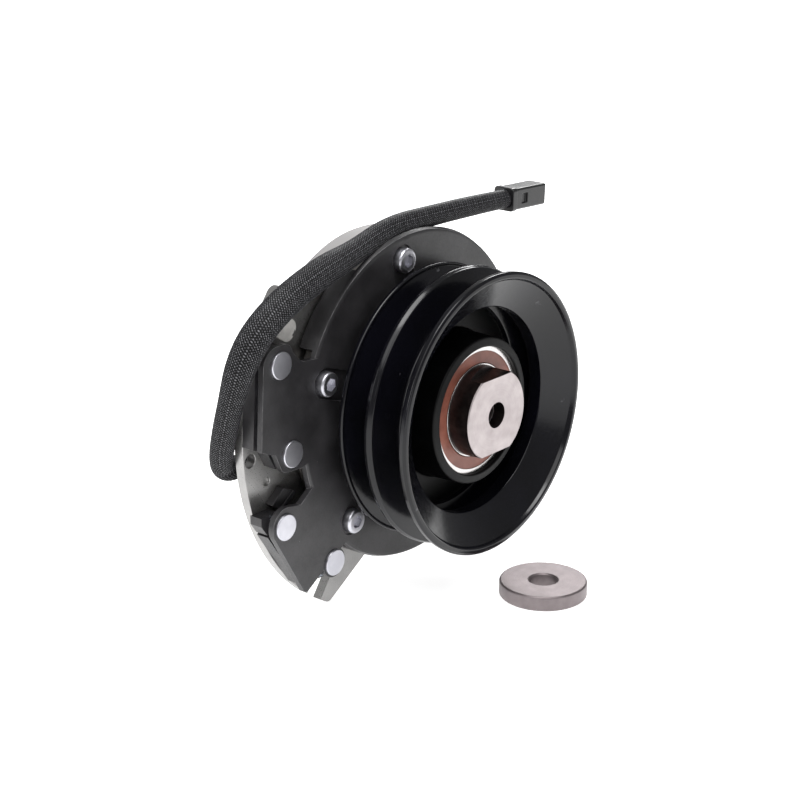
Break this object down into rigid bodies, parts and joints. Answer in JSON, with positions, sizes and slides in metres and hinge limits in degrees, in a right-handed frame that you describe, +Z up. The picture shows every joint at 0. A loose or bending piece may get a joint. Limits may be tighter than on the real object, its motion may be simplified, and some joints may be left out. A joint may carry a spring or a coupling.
{
  "type": "electromagnetic clutch",
  "caption": "Mower deck electromagnetic clutch: belt pulley on a bearing, armature, rotor hub for the engine shaft, field coil, brake plate and braided lead.",
  "frame": {"origin": "on the shaft axis at the rear face of the hub, at the mouth of the engine shaft bore", "axes": "+Y along the shaft axis out of the rear bore, towards the engine; the pulley faces -Y; +Z up"},
  "size_m": [0.2232, 0.1192, 0.1818],
  "materials": {
    "zinc_steel": "zinc plated, machined swirl",
    "shell_steel": "zinc plated drawn steel",
    "black_plate": "satin black coat",
    "black_pulley": "gloss black enamel",
    "machined_steel": "turned and ground",
    "rotor_steel": "turned",
    "rivet_zinc": "bright zinc",
    "bearing_steel": "ground",
    "seal_rubber": "matte brown red",
    "cage_nylon": "matte",
    "coil_copper": "enamelled copper wire",
    "coil_plastic": "moulded",
    "friction": "pressed friction compound",
    "spring_steel": "blued",
    "braid": "woven sleeve",
    "grommet_rubber": "moulded",
    "connector_plastic": "moulded, slight sheen",
    "terminal_brass": "tinned brass"
  },
  "bodies": {
    "field": {"field_shell": "shell_steel", "coil_bobbin": "coil_plastic", "coil_winding": "coil_copper", "coil_potting": "coil_plastic", "field_plate": "zinc_steel", "brake_plate": "black_plate", "brake_spacers": "black_plate", "brake_shims": "spring_steel", "ear_rivets": "rivet_zinc", "stop_blocks": "black_plate", "corner_block": "black_plate", "lead_clip": "rivet_zinc", "brake_ring": "rotor_steel", "brake_lining": "friction", "brake_bolts": "rivet_zinc", "field_bearing_outer": "bearing_steel", "field_bearing_balls": "bearing_steel", "field_bearing_cage": "cage_nylon", "field_bearing_seals": "seal_rubber", "lead_grommet": "grommet_rubber", "lead_sleeve": "braid", "connector_housing": "connector_plastic", "connector_lock": "connector_plastic", "connector_terminals": "terminal_brass"},
    "rotor": {"rotor_hub": "machined_steel", "rotor_disc": "rotor_steel", "hub_nose": "machined_steel", "hub_snap_ring": "spring_steel", "field_bearing_inner": "bearing_steel", "pulley_bearing_inner": "bearing_steel"},
    "pulley": {"pulley_front_sheave": "black_pulley", "pulley_rear_sheave": "black_pulley", "pulley_hub": "black_pulley", "pulley_rivets": "rivet_zinc", "pulley_bearing_outer": "bearing_steel", "pulley_bearing_balls": "bearing_steel", "pulley_bearing_cage": "cage_nylon", "pulley_bearing_seals": "seal_rubber"},
    "armature": {"armature_plate": "rotor_steel", "armature_rivets": "rivet_zinc", "leaf_springs": "spring_steel"},
    "washer": {"retaining_washer": "machined_steel"}
  },
  "joints": [
    {"name": "rotor_spin", "type": "hinge", "parent": "field", "child": "rotor", "pos_m": [0, 0, 0], "axis": [0, 1, 0], "continuous": true},
    {"name": "pulley_spin", "type": "hinge", "parent": "rotor", "child": "pulley", "pos_m": [0, -0.068, 0], "axis": [0, 1, 0], "continuous": true},
    {"name": "armature_engage", "type": "slide", "parent": "pulley", "child": "armature", "axis": [0, 1, 0], "range_m": [0, 0.0004], "stiffness_N_per_m": 5000, "deforming": ["leaf_springs"]},
    {"name": "washer_slide", "type": "slide", "parent": "field", "child": "washer", "axis": [0, -1, 0], "range_m": [0, 0.06]}
  ]
}
